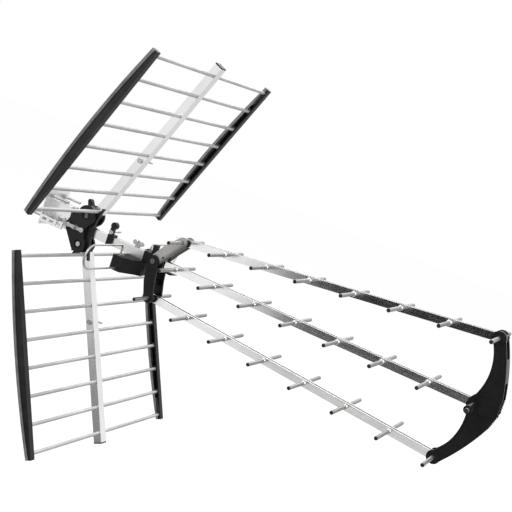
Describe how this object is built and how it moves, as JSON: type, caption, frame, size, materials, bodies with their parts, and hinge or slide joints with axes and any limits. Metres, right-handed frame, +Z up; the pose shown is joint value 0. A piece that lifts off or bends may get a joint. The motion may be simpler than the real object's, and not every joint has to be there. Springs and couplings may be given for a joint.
{
  "type": "outdoor antenna",
  "caption": "Rooftop antenna with a folding corner reflector, a folded dipole, booms of short directors on folding arms, and a mast clamp.",
  "frame": {"origin": "on the mast's axis, level with the main boom's axis", "axes": "+X the way the antenna points, along the main boom; +Y its left side seen from behind; +Z up, along the mast"},
  "size_m": [1.1541, 0.529, 0.8987],
  "materials": {
    "black_plastic": "satin",
    "boom_channel": "bright",
    "boom_tube": "bright",
    "bracket_steel": "zinc",
    "dipole_metal": "satin",
    "director_tube": "satin",
    "grey_plastic": "satin",
    "reflector_beam": "satin",
    "reflector_tube": "brushed",
    "socket_metal": "nickel",
    "zinc_hardware": "zinc"
  },
  "bodies": {
    "bracket": {"mast_bracket": "bracket_steel", "upper_jaw": "bracket_steel", "lower_jaw": "bracket_steel", "clamp_nuts": "zinc_hardware", "tongue_bolt": "zinc_hardware", "tilt_pivot_bolt": "zinc_hardware"},
    "upper_u_bolt": {"u_bolt_upper": "zinc_hardware"},
    "lower_u_bolt": {"u_bolt_lower": "zinc_hardware"},
    "boom": {"main_boom": "boom_tube", "boom_end_cap": "black_plastic", "tilt_lock_bolt": "zinc_hardware", "hub_near_half": "black_plastic", "hub_far_half": "black_plastic", "upper_pivot_screw": "zinc_hardware", "lower_pivot_screw": "zinc_hardware", "hub_bolt": "zinc_hardware", "middle_boom": "boom_channel", "boom_joint_bolt": "zinc_hardware", "cable_clip": "black_plastic", "clip_screw": "zinc_hardware", "junction_tray": "black_plastic", "junction_lid": "black_plastic", "dipole_conductor": "dipole_metal", "terminal_screws": "zinc_hardware", "coax_socket": "socket_metal", "rear_joint_block": "black_plastic", "rear_pivot_pin": "zinc_hardware", "middle_directors": "director_tube", "middle_director_caps": "black_plastic", "front_pivot_sleeve": "black_plastic"},
    "hub_wing": {"hub_wing_nut": "zinc_hardware"},
    "boom_wing": {"boom_wing_nut": "zinc_hardware"},
    "upper_panel": {"upper_beam_foot": "black_plastic", "upper_beam": "reflector_beam", "upper_beam_cap": "black_plastic", "upper_panel_bolt": "zinc_hardware", "upper_rods": "reflector_tube", "upper_near_bar": "black_plastic", "upper_far_bar": "black_plastic"},
    "upper_panel_wing": {"upper_panel_wing_nut": "zinc_hardware"},
    "upper_rear_link": {"upper_rear_arm": "grey_plastic"},
    "upper_director_boom": {"upper_boom": "boom_channel", "upper_directors": "director_tube", "upper_director_caps": "black_plastic", "upper_front_collars": "black_plastic"},
    "upper_front_link": {"upper_front_arm": "black_plastic"},
    "lower_panel": {"lower_beam_foot": "black_plastic", "lower_beam": "reflector_beam", "lower_beam_cap": "black_plastic", "lower_panel_bolt": "zinc_hardware", "lower_rods": "reflector_tube", "lower_near_bar": "black_plastic", "lower_far_bar": "black_plastic"},
    "lower_panel_wing": {"lower_panel_wing_nut": "zinc_hardware"},
    "lower_rear_link": {"lower_rear_arm": "black_plastic"},
    "lower_director_boom": {"lower_boom": "boom_channel", "lower_directors": "director_tube", "lower_director_caps": "black_plastic", "lower_front_collars": "black_plastic"},
    "lower_front_link": {"lower_front_arm": "black_plastic"}
  },
  "joints": [
    {"name": "boom_tilt", "type": "hinge", "parent": "bracket", "child": "boom", "pos_m": [0.06, 0, 0], "axis": [0, -1, 0], "range_deg": [-15, 15]},
    {"name": "upper_u_bolt_slide", "type": "slide", "parent": "bracket", "child": "upper_u_bolt", "axis": [-1, 0, 0], "range_m": [0, 0.012]},
    {"name": "lower_u_bolt_slide", "type": "slide", "parent": "bracket", "child": "lower_u_bolt", "axis": [-1, 0, 0], "range_m": [0, 0.012]},
    {"name": "hub_wing_turn", "type": "hinge", "parent": "boom", "child": "hub_wing", "pos_m": [0.116, -0.03, 0], "axis": [0, -1, 0], "continuous": true},
    {"name": "boom_wing_turn", "type": "hinge", "parent": "boom", "child": "boom_wing", "pos_m": [0.27, 0, 0.015], "axis": [0, 0, 1], "continuous": true},
    {"name": "upper_reflector_fold", "type": "hinge", "parent": "boom", "child": "upper_panel", "pos_m": [0.133, 0, 0.034], "axis": [0, -1, 0], "range_deg": [0, 80]},
    {"name": "upper_panel_wing_turn", "type": "hinge", "parent": "upper_panel", "child": "upper_panel_wing", "pos_m": [0.21485, 0.014, 0.19387], "axis": [0, 1, 0], "continuous": true},
    {"name": "upper_arm_fold", "type": "hinge", "parent": "boom", "child": "upper_rear_link", "pos_m": [0.3305, 0, 0], "axis": [0, -1, 0], "range_deg": [0, 70]},
    {"name": "upper_boom_swing", "type": "hinge", "parent": "upper_rear_link", "child": "upper_director_boom", "pos_m": [0.38321, 0, 0.06282], "axis": [0, -1, 0], "range_deg": [-74.6, 1]},
    {"name": "upper_front_arm_swing", "type": "hinge", "parent": "boom", "child": "upper_front_link", "pos_m": [1.0828, 0, 0], "axis": [0, -1, 0], "range_deg": [-1, 42.3]},
    {"name": "lower_reflector_fold", "type": "hinge", "parent": "boom", "child": "lower_panel", "pos_m": [0.133, 0, -0.034], "axis": [0, 1, 0], "range_deg": [0, 80]},
    {"name": "lower_panel_wing_turn", "type": "hinge", "parent": "lower_panel", "child": "lower_panel_wing", "pos_m": [0.2168, 0.014, -0.19285], "axis": [0, 1, 0], "continuous": true},
    {"name": "lower_arm_fold", "type": "hinge", "parent": "boom", "child": "lower_rear_link", "pos_m": [0.3305, 0, 0], "axis": [0, 1, 0], "range_deg": [-29, 20]},
    {"name": "lower_boom_swing", "type": "hinge", "parent": "lower_rear_link", "child": "lower_director_boom", "pos_m": [0.34615, 0, -0.08049], "axis": [0, 1, 0], "range_deg": [-22.2, 31.7]},
    {"name": "lower_front_arm_swing", "type": "hinge", "parent": "boom", "child": "lower_front_link", "pos_m": [1.0828, 0, 0], "axis": [0, 1, 0], "range_deg": [-17.5, 12.4]}
  ],
  "couplings": [
    {"joint": "upper_boom_swing", "follows": "upper_arm_fold", "ratio": -1.052},
    {"joint": "upper_front_arm_swing", "follows": "upper_arm_fold", "ratio": 0.59},
    {"joint": "lower_boom_swing", "follows": "lower_arm_fold", "ratio": -1.058},
    {"joint": "lower_front_arm_swing", "follows": "lower_arm_fold", "ratio": 0.57}
  ]
}
